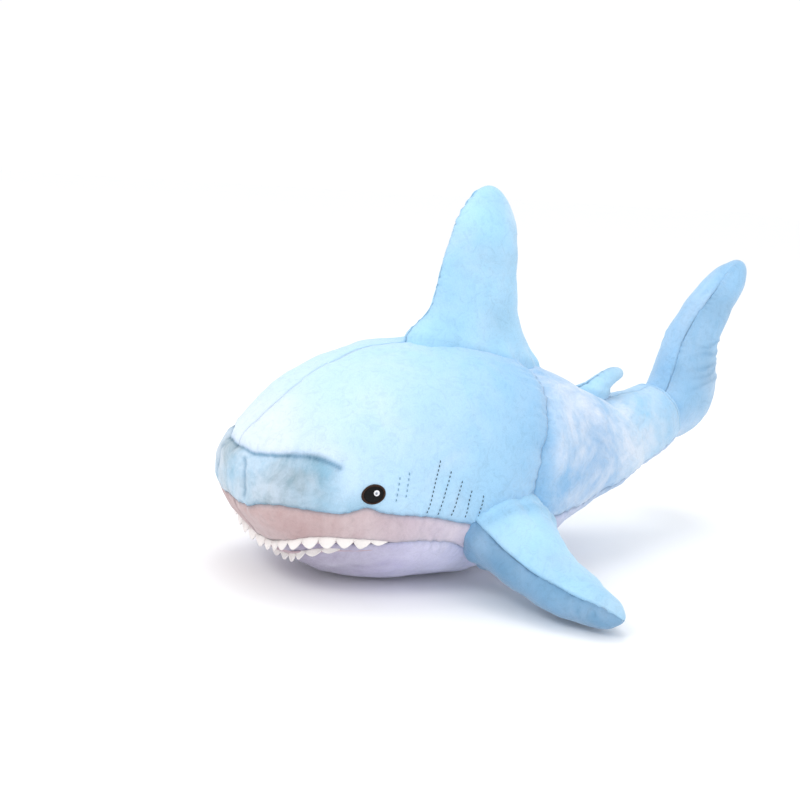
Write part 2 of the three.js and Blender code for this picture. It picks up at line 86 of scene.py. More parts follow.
# Fold where the torso's panels meet the rear body's: degrees from the ridge, s.
FOLD_LINE = [(0, 366), (40, 359), (67, 342), (103, 322), (140, 314), (180, 312)]

MOUTH_FRONT_AT = 50
MOUTH_FRONT_HEIGHT = 43
MOUTH_RISE = 35
MOUTH_HALF_WIDTH = 110
MOUTH_SLOPE = 0.22
MOUTH_GAP = 8
MOUTH_CORNER = 144

EYE_AT, EYE_ANGLE, EYE_LONG, EYE_SHORT, EYE_TILT = 116, 86, 12.5, 10.0, 14
EYE_EDGE_SUNK = 1.2
# Rows of gill stitches: top s and height, bottom s and height.
GILLS = [
    (189, 161, 177, 101), (203, 149, 190, 98), (217, 138, 207, 94), (231, 126, 225, 90), (246, 120, 243, 87),
]
FAINT_GILLS = [(153, 149, 150, 118), (143, 144, 140, 114)]
SECOND_DORSAL_AT = 504
NOSE_TIP_HEIGHT = 118.5


# -------- curves and the body's surface
def through(points, column=1):
    """A smooth curve through points that never overshoots them."""
    table = np.array(points, float)
    xs, ys = table[:, 0], table[:, column]
    steps = np.diff(xs)
    slopes = np.diff(ys) / steps
    tangents = np.concatenate([slopes[:1], np.zeros(len(xs) - 2), slopes[-1:]])
    before, after = 2 * steps[1:] + steps[:-1], steps[1:] + 2 * steps[:-1]
    same = slopes[:-1] * slopes[1:] > 0
    low, high = np.where(same, slopes[:-1], 1), np.where(same, slopes[1:], 1)
    tangents[1:-1] = np.where(same, (before + after) / (before / low + after / high), 0)

    def curve(x):
        at = np.clip(x, xs[0], xs[-1])
        i = np.clip(np.searchsorted(xs, at) - 1, 0, len(steps) - 1)
        t, h = (at - xs[i]) / steps[i], steps[i]
        return (
            (2 * t**3 - 3 * t**2 + 1) * ys[i] + (t**3 - 2 * t**2 + t) * h * tangents[i]
            + (3 * t**2 - 2 * t**3) * ys[i + 1] + (t**3 - t**2) * h * tangents[i + 1]
        )

    return curve


body_top, body_bottom, body_width = (through(BODY, k) for k in (1, 2, 3))
spine_yaw, spine_pitch = through(SPINE, 1), through(SPINE, 2)
lip_height, belly_height, fold_at = through(LIP_LINE), through(BELLY_LINE), through(FOLD_LINE)


def smooth(x, low, high):
    """0 before low, 1 after high, and smooth between them."""
    t = np.clip((np.asarray(x, float) - low) / (high - low), 0, 1)
    return t * t * (3 - 2 * t)


def unit(v):
    return v / np.maximum(np.linalg.norm(v, axis=-1, keepdims=True), 1e-9)


def spine_forward(s):
    yaw, pitch = np.radians(spine_yaw(s)), np.radians(spine_pitch(s))
    level = np.cos(pitch)
    return np.stack([-np.sin(yaw) * level, np.cos(yaw) * level, np.sin(pitch)], -1)


chain_steps = spine_forward(np.minimum(np.arange(TAIL_END + 40) + 0.5, TAIL_END))
CHAIN = np.array([0, -BELLY_AT, AXIS_HEIGHT]) + np.vstack([np.zeros(3), np.cumsum(chain_steps, 0)])


def spine_frame(s):
    """Centre, forward, left and up of the spine at s."""
    s = np.asarray(s, float)
    whole = np.clip(np.floor(s), 0, len(CHAIN) - 2).astype(int)
    yaw, forward = np.radians(spine_yaw(s)), spine_forward(s)
    left = np.stack([np.cos(yaw), np.sin(yaw), np.zeros_like(yaw)], -1)
    centre = CHAIN[whole] + forward * (s - whole)[..., None]
    return centre, forward, left, np.cross(left, forward)


def powered(v):
    return np.sign(v) * np.abs(v) ** (2 / SECTION_POWER)


def section(s, a):
    """Height above the floor line, and distance to the left of the spine, of the plain skin."""
    top, bottom = body_top(s), body_bottom(s)
    middle = top * WIDEST_AT + bottom * (1 - WIDEST_AT)
    around = np.radians(a)
    reach = np.where(np.cos(around) > 0, top - middle, middle - bottom)
    return middle + reach * powered(np.cos(around)), body_width(s) * powered(np.sin(around))


def plain_skin(s, a):
    """The body before it is stuffed, flat where it rests on the floor."""
    centre, _, left, up = spine_frame(s)
    height, leftward = section(s, a)
    point = centre + up * (height - AXIS_HEIGHT)[..., None] + left * leftward[..., None]
    point[..., 2] = 0.5 * (point[..., 2] + np.sqrt(point[..., 2] ** 2 + 9))
    return point


def skin_normal(s, a):
    along = plain_skin(np.minimum(s + 0.4, TAIL_END), a) - plain_skin(np.maximum(s - 0.4, 0.01), a)
    around = plain_skin(s, a + 0.6) - plain_skin(s, a - 0.6)
    return unit(np.cross(around, along))


def mouth_height(x, s):
    arch = MOUTH_RISE * (x / MOUTH_HALF_WIDTH) ** 2
    return MOUTH_FRONT_HEIGHT + arch - MOUTH_SLOPE * (s - MOUTH_FRONT_AT)


def above_lip_seam(s, a):
    return section(s, a)[0] - lip_height(s)


def above_belly_seam(s, a):
    height, leftward = section(s, a)
    mouth, belly = height - mouth_height(leftward, s), height - belly_height(s)
    return mouth + (belly - mouth) * smooth(s, 140, 162)


def behind_fold(s, a):
    return s - fold_at(180 - np.abs(180 - np.mod(a, 360)))


def waves(p, size, seed, count=12):
    """Smooth random lumps of about that size, mostly from -1 to 1."""
    rng = np.random.default_rng(seed)
    turns = unit(rng.normal(size=(count, 3))) * rng.uniform(0.7, 1.5, (count, 1)) * 2 * np.pi / size
    return np.sin(p @ turns.T + rng.uniform(0, 2 * np.pi, count)).sum(-1) / math.sqrt(count)


# -------- the body's grid
COLUMNS = 300
CELL = 2.6


def ring_places():
    """Values of s that space the rings evenly over the skin."""
    dense = np.concatenate([np.linspace(0, 8, 400), np.linspace(8, TAIL_END, 2400)[1:]])
    tracks = [plain_skin(dense, np.full_like(dense, a)) for a in (0, 45, 90, 135, 180)]
    gaps = np.max([np.linalg.norm(np.diff(t, axis=0), axis=1) for t in tracks], 0)
    walked = np.concatenate([[0], np.cumsum(gaps)])
    return np.interp(np.linspace(0, walked[-1], int(walked[-1] / CELL)), walked, dense)


def snap(field, s, a, locked):
    """Moves grid points onto the line where a field is zero, and returns the field there."""
    value = field(s, a)
    rows, columns = s.shape
    edges = []
    for di, dj in ((1, 0), (0, 1)):
        other = np.roll(value, (-di, -dj), (0, 1))
        crossing = value * other < 0
        if di:
            crossing[-1] = False
        for i, j in zip(*np.nonzero(crossing)):
            share = value[i, j] / (value[i, j] - other[i, j])
            near, k, m = share < 0.5, (i + di) % rows, (j + dj) % columns
            edges.append((min(share, 1 - share), i, j, k, m, near, share))
    for _, i, j, k, m, near, share in sorted(edges):
        if value[i, j] == 0 or value[k, m] == 0:
            continue
        u, v = (i, j) if near else (k, m)
        if not (locked[u, v] or (j != m and v in (0, columns // 2))):
            turn = (a[k, m] - a[i, j] + 180) % 360 - 180
            s[u, v] = s[i, j] + (s[k, m] - s[i, j]) * share
            a[u, v] = a[i, j] + turn * share
        value[u, v] = 0
    return value


ring_s = ring_places()
grid_s, grid_a = np.meshgrid(ring_s, np.arange(COLUMNS) * 360 / COLUMNS, indexing="ij")
grid_fold = snap(behind_fold, grid_s, grid_a, np.zeros(grid_s.shape, bool))
grid_lip = snap(above_lip_seam, grid_s, grid_a, grid_fold == 0)
grid_belly = snap(above_belly_seam, grid_s, grid_a, (grid_fold == 0) | (grid_lip == 0))


# -------- seams, dimples and folds
def skin_line(points, count=60):
    """Points on the skin along a line given by a few places (s, a)."""
    t = np.linspace(0, len(points) - 1, count)
    knots = [(i, s, a) for i, (s, a) in enumerate(points)]
    return plain_skin(through(knots, 1)(t), through(knots, 2)(t))


def side_line(points, side):
    return skin_line([(s, side * a) for s, a in points])


def angle_below(s, start, above):
    """The left flank's angle, from start down to the belly, where a point stops being above a line."""
    low, high = np.full_like(s, start), np.full_like(s, 180.0)
    for _ in range(40):
        middle = (low + high) / 2
        higher = above(*section(s, middle))
        low, high = np.where(higher, middle, low), np.where(higher, high, middle)
    return (low + high) / 2


def flank_angle(s, height):
    return angle_below(s, 0.0, lambda at, _: at > height)


NOSE_DART = [(7.8, 0), (12.1, 28.5), (26.1, 45.9), (40.9, 53.9), (69, 66.4), (81.5, 71.9)]
NOSE_SEAM = [(5.5, 34), (3.6, 72), (4.8, 118)]
EYE_CREASE = [(132, 78), (139, 66), (150, 57)]
STALK_FOLD = [(518, 18), (526, 40), (538, 60), (546, 84), (548, 110)]
CHEEK_CREASE = [(150, 98), (166, 112), (190, 119)]

plain_grid = plain_skin(grid_s, grid_a)
seam_kinds = []  # points, depth, half width, pucker, and how much painted shade darkens the seam's bottom


def add_seam(points, depth, width, pucker, shade=0.0):
    seam_kinds.append((points, depth, width, pucker, shade))


add_seam(plain_grid[grid_lip == 0], 2.8, 5, 0.9, 0.6)
add_seam(plain_grid[grid_fold == 0], 7.5, 13, 1.6, 0.3)
add_seam(plain_grid[(grid_belly == 0) & (grid_s > 150) & (grid_fold < 0)], 2.4, 5, 0.8, 0.35)
add_seam(plain_grid[(grid_belly == 0) & (grid_s <= 150)], 1.6, 4, 0.5, 0.3)
add_seam(skin_line([(s, 0.0) for s in (20, 120, 250, 400, 520, 620)], 300), 0.7, 3.5, 0.3, 0.12)
add_seam(skin_line([(s, 180.0) for s in (8, 60, 120, 150)], 90), 1.5, 4, 0.5, 0.4)
add_seam(skin_line([(s, 180.0) for s in (330, 450, 620)], 150), 1.6, 4, 0.5)
for side in (1, -1):
    add_seam(side_line(NOSE_DART, side), 4.5, 6, 1.0, 0.9)
    add_seam(side_line(NOSE_SEAM, side), 2.4, 5, 0.5, 0.7)
    add_seam(side_line(EYE_CREASE, side), 1.1, 7, 0.2)
    add_seam(side_line(STALK_FOLD, side), 5.0, 10, 1.0)
    add_seam(side_line(CHEEK_CREASE, side), 0.9, 7, 0.3)


def footprint(centre, along, across, half_long, half_wide, count=120):
    """Points round the oval where a fin is sewn to the body."""
    turn = np.linspace(0, 2 * np.pi, count)[:, None]
    return centre + along * half_long * np.cos(turn) + across * half_wide * np.sin(turn)


def tree_of(points):
    tree = KDTree(len(points))
    for i, p in enumerate(points):
        tree.insert(p, i)
    tree.balance()
    return tree


plain_points = plain_grid.reshape(-1, 3)
plain_tree = tree_of(plain_points)


def on_skin(points):
    """The nearest points of the plain skin."""
    return np.array([plain_points[plain_tree.find(p)[1]] for p in points])


ridge_centre, ridge_forward, ridge_left, ridge_up = spine_frame(np.array(float(SECOND_DORSAL_AT)))
add_seam(on_skin(footprint(np.array([0, 87, 268]), np.array([0, 1, 0]), np.array([1, 0, 0]),
                           79, 34)), 3.0, 8, 1.0)
add_seam(on_skin(footprint(ridge_centre + ridge_up * 82, ridge_forward, ridge_left, 30, 16)), 2.2, 6, 0.6)
for side in (1, -1):
    add_seam(on_skin(footprint(np.array([side * 136, 78, 63]), np.array([0, 0.995, 0.1]),
                               np.array([0, -0.1, 0.995]), 54, 38)), 4.0, 9, 1.2, 0.35)

seam_trees = [tree_of(points) for points, *_ in seam_kinds]


def stuffed(points, normals):
    """Pushes points of the plain skin out or in: seams and folds draw in, the stuffing is lumpy."""
    shape = points.shape
    flat = points.reshape(-1, 3)
    drawn, puckers = np.zeros(len(flat)), np.zeros(len(flat))
    for tree, (seam, depth, width, pucker, _) in zip(seam_trees, seam_kinds):
        low, high = seam.min(0) - 3 * width, seam.max(0) + 3 * width
        near = np.nonzero(((flat > low) & (flat < high)).all(1))[0]
        found = [tree.find(flat[i]) for i in near]
        distance = np.array([f[2] for f in found])
        closest = seam[[f[1] for f in found]]
        valley = 0.72 * np.exp(-((distance / width) ** 2)) + 0.28 * np.exp(-distance / (1.6 * width))
        pull = depth * valley
        drawn[near] = np.maximum(drawn[near], pull)
        puckers[near] += pucker * waves(closest, 11, 5) * np.exp(-((distance / (2.2 * width)) ** 2))
    lumps = 1.5 * waves(flat, 120, 1) + 0.75 * waves(flat, 52, 2) + 0.3 * waves(flat, 24, 3)
    resting = smooth(flat[:, 2], 1, 14)
    out = (lumps + puckers) * resting - drawn * np.maximum(resting, 0.25)
    return points + normals * out.reshape(shape[:-1])[..., None]


def painted_crease_shade(points):
    """How much painted shade darkens the bottom of a seam or a fold, fading out over a few millimetres."""
    deep = np.zeros(len(points))
    for tree, (seam, *_, shade) in zip(seam_trees, seam_kinds):
        low, high = seam.min(0) - 12, seam.max(0) + 12
        near = np.nonzero(((points > low) & (points < high)).all(1))[0]
        distance = np.array([tree.find(points[i])[2] for i in near])
        deep[near] = np.maximum(deep[near], shade * np.exp(-((distance / 2.6) ** 2)))
    return deep


def surface(s, a):
    """Points of the stuffed body and its plain normals."""
    s, a = np.asarray(s, float), np.asarray(a, float)
    normals = skin_normal(s, a)
    return stuffed(plain_skin(s, a), normals), normals


grid_normal = skin_normal(grid_s, grid_a)
grid_point = stuffed(plain_grid, grid_normal)

# -------- the mouth's gap
gap_here = MOUTH_GAP * (1 - smooth(grid_s, 104, 150))
down = np.array([0, 0, -1.0])
downhill = unit(down - grid_normal * (grid_normal @ down)[..., None])
edge_fade = np.exp(-np.abs(grid_belly) / 26)
chin_point = grid_point + downhill * (gap_here * edge_fade)[..., None]
chin_point[..., 2] = np.maximum(chin_point[..., 2], 0.6)


# -------- meshes
def new_object(name, verts, faces, rest=None):
    """A mesh object from points in mm. rest is where the cloth's dye is read from."""
    mesh = bpy.data.meshes.new(name)
    mesh.from_pydata((np.asarray(verts, float) * MM).tolist(), [], [list(map(int, f)) for f in faces])
    mesh.validate()
    mesh.update()
    attribute = mesh.attributes.new("rest", "FLOAT_VECTOR", "POINT")
    source = np.asarray(verts if rest is None else rest, float) * MM
    attribute.data.foreach_set("vector", source.astype(np.float32).ravel())
    mesh.polygons.foreach_set("use_smooth", [True] * len(mesh.polygons))
    obj = bpy.data.objects.new(name, mesh)
    bpy.context.scene.collection.objects.link(obj)
    return obj


def add_colour(obj, name, values):
    attribute = obj.data.attributes.new(name, "FLOAT_COLOR", "POINT")
    rgba = np.concatenate([values, np.ones((len(values), 1))], 1)
    attribute.data.foreach_set("color", rgba.astype(np.float32).ravel())


def add_float(obj, name, values):
    attribute = obj.data.attributes.new(name, "FLOAT", "POINT")
    attribute.data.foreach_set("value", np.asarray(values, np.float32))


def thicken(obj, thickness=PANEL):
    """Makes a closed piece of cloth. The mesh is its outer face."""
    modifier = obj.modifiers.new("cloth thickness", "SOLIDIFY")
    modifier.thickness = thickness * MM
    modifier.offset = -1
    return obj


def linear(colour):
    c = np.asarray(colour, float)
    return np.where(c <= 0.04045, c / 12.92, ((c + 0.055) / 1.055) ** 2.4)


def grid_quads(rows, columns, closed=False):
    """The cells of a grid of points, row by row. A closed grid's last column meets its first."""
    index = np.arange(rows * columns).reshape(rows, columns)
    here, after = (index, np.roll(index, -1, 1)) if closed else (index[:, :-1], index[:, 1:])
    return np.stack([here[:-1], after[:-1], after[1:], here[1:]], -1).reshape(-1, 4)


FLIPPED = [0, 3, 2, 1]  # a quad's corners the other way round


def grid_faces():
    """The cells of the body's grid as faces, cut where a seam crosses one, with the cell's number."""
    corners = grid_quads(*grid_s.shape, closed=True)[:, FLIPPED]
    fields = [f.reshape(-1)[corners] for f in (grid_fold, grid_lip, grid_belly)]
    faces = []
    for n, quad in enumerate(corners):
        split = None
        for field in fields:
            v = field[n]
            if v.min() < 0 < v.max():
                split = (0, 2) if v[0] == 0 and v[2] == 0 else (1, 3)
        if split is None:
            faces.append((tuple(quad), n))
        elif split == (0, 2):
            faces += [((quad[0], quad[1], quad[2]), n), ((quad[0], quad[2], quad[3]), n)]
        else:
            faces += [((quad[1], quad[2], quad[3]), n), ((quad[3], quad[0], quad[1]), n)]
    return faces


body_faces = grid_faces()
flat_fold, flat_lip, flat_belly = (f.reshape(-1) for f in (grid_fold, grid_lip, grid_belly))
face_rows = np.array([
    [flat_fold[list(f)].sum(), flat_lip[list(f)].sum(), flat_belly[list(f)].sum(),
     np.mod(n, COLUMNS)] for f, n in body_faces
])
is_rear, is_back = face_rows[:, 0] > 0, face_rows[:, 1] > 0
is_under = (face_rows[:, 2] < 0) & ~is_back & ~is_rear
is_left = face_rows[:, 3] < COLUMNS / 2

# -------- dye, with painted highlight and painted shade in some colours
# s, red, green and blue along the back, the upper lip and the underside, as seen in white light.
# Painted highlight: the back's tints from s 90 to 160 are raised a little for the bright middle of the
# torso; the rest is the dye.
TINTS = [
    (0, 0.86, 0.91, 0.97), (40, 0.82, 0.895, 0.975), (90, 0.77, 0.89, 0.98),
    (160, 0.72, 0.87, 0.975), (260, 0.64, 0.825, 0.955), (345, 0.58, 0.775, 0.93),
    (440, 0.57, 0.74, 0.90), (560, 0.60, 0.80, 0.93), (640, 0.57, 0.78, 0.93),
]
LIP_TINTS = [
    (0, 0.73, 0.61, 0.60), (60, 0.72, 0.60, 0.60), (130, 0.77, 0.69, 0.72), (240, 0.83, 0.79, 0.87),
    (640, 0.80, 0.82, 0.92),
]
BELLY_TINTS = [
    (0, 0.56, 0.50, 0.60), (100, 0.60, 0.56, 0.67), (180, 0.77, 0.76, 0.89), (345, 0.80, 0.82, 0.93),
    (450, 0.70, 0.79, 0.90), (640, 0.68, 0.80, 0.92),
]
# FIN_BLUE_PAINTED_SHADE is the pectoral fins' blue, darkened as painted shade for their bottom panels.
FIN_BLUE, FIN_BLUE_PAINTED_SHADE, TAIL_BLUE = (0.65, 0.84, 0.96), (0.45, 0.63, 0.77), (0.58, 0.76, 0.90)
SNOUT_GREY, SNOUT_BLUE = (0.50, 0.60, 0.64), (0.46, 0.68, 0.79)


def tint_along(s, tints):
    return linear(np.stack([through(tints, k)(s) for k in (1, 2, 3)], -1))


def whitening(s, points):
    """How much white the dye leaves: cloudy over the rear body, little on the torso."""
    rear = smooth(s, 338, 372) * (1 - 0.55 * smooth(s, 520, 600))
    nose = 0.55 * (1 - smooth(s, 10, 90))
    return np.clip(0.16 + 0.75 * rear + nose + 0.08 * waves(points, 90, 11), 0, 1)


dart_angle = through(NOSE_DART)


def tealing(s, a):
    """Where the pale snout turns grey-teal: below the dart, and on along the lip seam."""
    down_from_ridge = 180 - np.abs(180 - np.mod(a, 360))
    below_dart = smooth(down_from_ridge - dart_angle(s), -5, 0) * (1 - smooth(s, 62, 98))
    beside_lip = smooth(-above_lip_seam(s, a), -34, -4) * (1 - smooth(s, 96, 150))
    return np.clip(np.maximum(below_dart, 0.8 * beside_lip), 0, 1)


def body_piece(name, keep, points, tints=TINTS):
    """A panel of the body from the chosen faces of the grid."""
    chosen = [body_faces[k][0] for k in np.nonzero(keep)[0]]
    used = np.unique(np.concatenate([np.array(f) for f in chosen]))
    renumber = np.full(grid_s.size, -1)
    renumber[used] = np.arange(len(used))
    faces = [tuple(renumber[list(f)][::-1]) for f in chosen]
    at, turn = grid_s.reshape(-1)[used], grid_a.reshape(-1)[used]
    verts, rest = points.reshape(-1, 3)[used], plain_points[used]
    if at.min() < 0.01 and (flat_lip[used] > 0).any():
        verts, rest, faces = close_nose(verts, rest, faces, at)
        at, turn = np.append(at, 0), np.append(turn, 90)
    obj = new_object(name, verts, faces, rest)
    add_colour(obj, "tint", tint_along(at, tints))
    add_float(obj, "whitening", whitening(at, rest))
    add_float(obj, "teal", tealing(at, turn))
    add_float(obj, "crease", painted_crease_shade(rest))
    return thicken(obj)


def close_nose(verts, rest, faces, at):
    """Joins the first ring of one side to a point at the very front of the nose."""
    tip = np.array([[0, -BELLY_AT - 0.4, NOSE_TIP_HEIGHT]])
    front = [k for k in range(len(at)) if at[k] < 1e-6]
    front.sort(key=lambda k: math.atan2(verts[k][0], verts[k][2] - NOSE_TIP_HEIGHT) % (2 * math.pi))
    pairs = [(front[k], front[k + 1]) for k in range(len(front) - 1)]
    apex = len(verts)
    faces = faces + [(apex, q, p) for p, q in pairs]
    return np.vstack([verts, tip]), np.vstack([rest, tip]), faces


REAR_START, REAR_END = 400, 560  # two places on the spine, s; rear_point finds them and nothing uses the result


def rear_point(s):
    return tuple(spine_frame(np.array(float(s)))[0] * MM)


# -------- materials
def new_material(name):
    material = bpy.data.materials.new(name)
    material.use_nodes = True
    tree = material.node_tree
    shader = tree.nodes["Principled BSDF"]
    return material, tree, shader


class Nodes:
    """Short calls for the nodes that the materials use."""

    def __init__(self, tree):
        self.tree = tree

    def add(self, kind, inputs=None, **settings):
        node = self.tree.nodes.new(kind)
        for key, value in settings.items():
            setattr(node, key, value)
        for key, value in (inputs or {}).items():
            socket = node.inputs[key]
            if isinstance(value, bpy.types.NodeSocket):
                self.tree.links.new(value, socket)
            else:
                socket.default_value = value
        return node

    def attribute(self, name, output):
        return self.add("ShaderNodeAttribute", attribute_name=name).outputs[output]

    def noise(self, place, scale, detail=4.0, rough=0.55, distortion=0.0):
        inputs = {"Vector": place, "Scale": scale, "Detail": detail, "Roughness": rough}
        inputs["Distortion"] = distortion
        return self.add("ShaderNodeTexNoise", inputs).outputs["Fac"]

    def ramp(self, value, stops):
        node = self.add("ShaderNodeValToRGB", {"Fac": value})
        elements = node.color_ramp.elements
        while len(elements) < len(stops):
            elements.new(0.5)
        for element, (place, level) in zip(elements, stops):
            element.position = place
            element.color = (*([level] * 3), 1) if np.isscalar(level) else (*level, 1)
        return node.outputs["Color"]

    def math(self, operation, first, second=0.0):
        return self.add("ShaderNodeMath", {0: first, 1: second}, operation=operation).outputs[0]

    def mix(self, share, first, second, blend="MIX"):
        inputs = {0: share, 6: first, 7: second}
        return self.add("ShaderNodeMix", inputs, data_type="RGBA", blend_type=blend).outputs[2]

    def bump(self, height, strength, distance, normal=None):
        inputs = {"Height": height, "Strength": strength, "Distance": distance}
        if normal is not None:
            inputs["Normal"] = normal
        return self.add("ShaderNodeBump", inputs).outputs["Normal"]


def plush_material(name, white=(0.93, 0.95, 0.99), snout=False, patches=None, sheen=0.5):
    """Short-pile plush. The dye, the crushed pile and the fibres all follow the cloth; the bottom of seams
    and folds carries painted shade.
    """
    material, tree, shader = new_material(name)
    n = Nodes(tree)
    rest = n.attribute("rest", "Vector")
    base = n.attribute("tint", "Color")
    cloud = n.ramp(n.noise(rest, 11, 5, 0.62, 1.1), [(0.36, 0.0), (0.66, 1.0)])
    small_cloud = n.ramp(n.noise(rest, 34, 4, 0.6, 0.8), [(0.35, 0.0), (0.7, 1.0)])
    amount = n.attribute("whitening", "Fac") if patches is None else patches
    clouds = n.math("ADD", n.math("MULTIPLY", cloud, 0.75), n.math("MULTIPLY", small_cloud, 0.25))
    share = n.math("MULTIPLY", clouds, amount)
    colour = n.mix(share, base, (*linear(white), 1))
    if snout:
        streak = n.ramp(n.noise(rest, 17, 5, 0.66, 0.9), [(0.38, 0.0), (0.66, 1.0)])
        patchy = n.math("ADD", n.math("MULTIPLY", streak, 0.5), 0.4)
        teal_share = n.math("MULTIPLY", patchy, n.attribute("teal", "Fac"))
        bluer = n.ramp(n.noise(rest, 12, 3, 0.5, 0.6), [(0.42, 0.0), (0.6, 1.0)])
        teal_dye = n.mix(bluer, (*linear(SNOUT_GREY), 1), (*linear(SNOUT_BLUE), 1))
        colour = n.mix(teal_share, colour, teal_dye)
    # Painted shade: the crease attribute darkens the colour in the bottom of seams and folds.
    painted_seam_shade = n.ramp(n.attribute("crease", "Fac"), [(0.0, (1, 1, 1)), (1.0, (0.36, 0.5, 0.6))])
    colour = n.mix(1.0, colour, painted_seam_shade, "MULTIPLY")
    crushed = n.noise(rest, 75, 4, 0.65, 2.0)
    colour = n.mix(0.5, colour, n.ramp(crushed, [(0.3, 0.80), (0.52, 1.0), (0.75, 1.0)]), "MULTIPLY")
    fibre = n.noise(rest, 900, 3, 0.7)
    colour = n.mix(0.35, colour, n.ramp(fibre, [(0.25, 0.72), (0.6, 1.0)]), "MULTIPLY")
    tree.links.new(colour, shader.inputs["Base Color"])
    coarse = n.bump(crushed, 0.35, 0.0018)
    fine = n.bump(fibre, 0.6, 0.0007, coarse)
    tree.links.new(fine, shader.inputs["Normal"])
    shader.inputs["Roughness"].default_value = 0.88
    shader.inputs["Specular IOR Level"].default_value = 0.18
    shader.inputs["Sheen Weight"].default_value = sheen
    shader.inputs["Sheen Roughness"].default_value = 0.45
    shader.inputs["Sheen Tint"].default_value = (0.92, 0.97, 1, 1)
    return material


def felt_material(name, colour):
    material, tree, shader = new_material(name)
    n = Nodes(tree)
    rest = n.attribute("rest", "Vector")
    hairs = n.noise(rest, 700, 5, 0.75, 1.0)
    soft = n.noise(rest, 60, 3)
    shade = n.mix(0.5, (*linear(colour), 1), n.ramp(hairs, [(0.3, 0.84), (0.65, 1.0)]), "MULTIPLY")
    shade = n.mix(0.3, shade, n.ramp(soft, [(0.3, 0.9), (0.7, 1.0)]), "MULTIPLY")
    tree.links.new(shade, shader.inputs["Base Color"])
    tree.links.new(n.bump(hairs, 0.5, 0.0004), shader.inputs["Normal"])
    shader.inputs["Roughness"].default_value = 0.92
    shader.inputs["Sheen Weight"].default_value = 0.25
    return material


def thread_material(name, colour, roughness):
    """Satin stitches: fine parallel threads lying side by side."""
    material, tree, shader = new_material(name)
    n = Nodes(tree)
    rest = n.attribute("rest", "Vector")
    inputs = {"Vector": rest, "Scale": THREADS_PER_METRE / 6.28, "Distortion": 1.2, "Detail": 2.0}
    threads = n.add("ShaderNodeTexWave", inputs, bands_direction="DIAGONAL").outputs["Fac"]
    shade = n.mix(0.6, (*linear(colour), 1), n.ramp(threads, [(0.1, 0.6), (0.7, 1.0)]), "MULTIPLY")
    tree.links.new(shade, shader.inputs["Base Color"])
    tree.links.new(n.bump(threads, 0.5, 0.0003), shader.inputs["Normal"])
    shader.inputs["Roughness"].default_value = roughness
    shader.inputs["Specular IOR Level"].default_value = 0.2
    return material


MATERIALS = {
    "blue": plush_material("plush blue", snout=True),
    "cream": plush_material("plush cream", white=(0.93, 0.89, 0.90), patches=0.4, sheen=0.35),
    "belly": plush_material("plush belly", white=(0.92, 0.91, 0.97), patches=0.5, sheen=0.35),
    "felt": felt_material("white felt", (0.96, 0.94, 0.93)),
    "lining": felt_material("mouth lining", (0.78, 0.68, 0.72)),
    "pupil": thread_material("eye black", (0.012, 0.011, 0.012), 0.4),
    "rim": thread_material("eye rim", (0.22, 0.14, 0.10), 0.5),
    "white": thread_material("eye white", (0.96, 0.96, 0.97), 0.45),
    "grey": thread_material("eye grey", (0.62, 0.65, 0.70), 0.45),
    "gill": thread_material("gill thread", (0.20, 0.28, 0.32), 0.6),
    "gill_faint": thread_material("gill thread faint", (0.46, 0.62, 0.72), 0.6),
}


def finish_piece(obj, material, slot, *nodes, fill=None):
    obj.data.materials.append(MATERIALS[material])
    if nodes:
        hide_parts(*nodes)
    return obj


# -------- body panels
for side, sided in (("left", is_left), ("right", ~is_left)):
    back = body_piece(f"back_{side}", is_back & ~is_rear & sided, grid_point)
    finish_piece(back, "blue", "plush_blue", f"back_panel_{side}", fill=0.9)
    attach(back, "torso")
    lip = body_piece(f"lip_{side}", ~is_back & ~is_under & ~is_rear & sided, grid_point, LIP_TINTS)
    finish_piece(lip, "cream", "plush_cream", f"lip_panel_{side}", fill=0.85)
    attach(lip, "torso")
    rear = body_piece(f"rear_back_{side}", is_back & is_rear & sided, grid_point)
    finish_piece(rear, "blue", "plush_pale", f"rear_back_panel_{side}", fill=0.8)
    rear_point(REAR_START)
    rear_point(REAR_END)
    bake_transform(rear)
    low = body_piece(f"rear_belly_{side}", ~is_back & is_rear & sided, grid_point, BELLY_TINTS)
    finish_piece(low, "belly", "plush_belly", f"rear_belly_panel_{side}", fill=0.8)
    rear_point(REAR_START)
    rear_point(REAR_END)
    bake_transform(low)

underside = body_piece("chin_and_belly", is_under, chin_point, BELLY_TINTS)
finish_piece(
    underside, "belly", "plush_belly", "chin_panel_left", "chin_panel_right", "belly_panel", fill=0.85,
)
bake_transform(underside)
for filling in ("body_filling", "rear_filling", "jaw_filling"):
    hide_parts(filling)


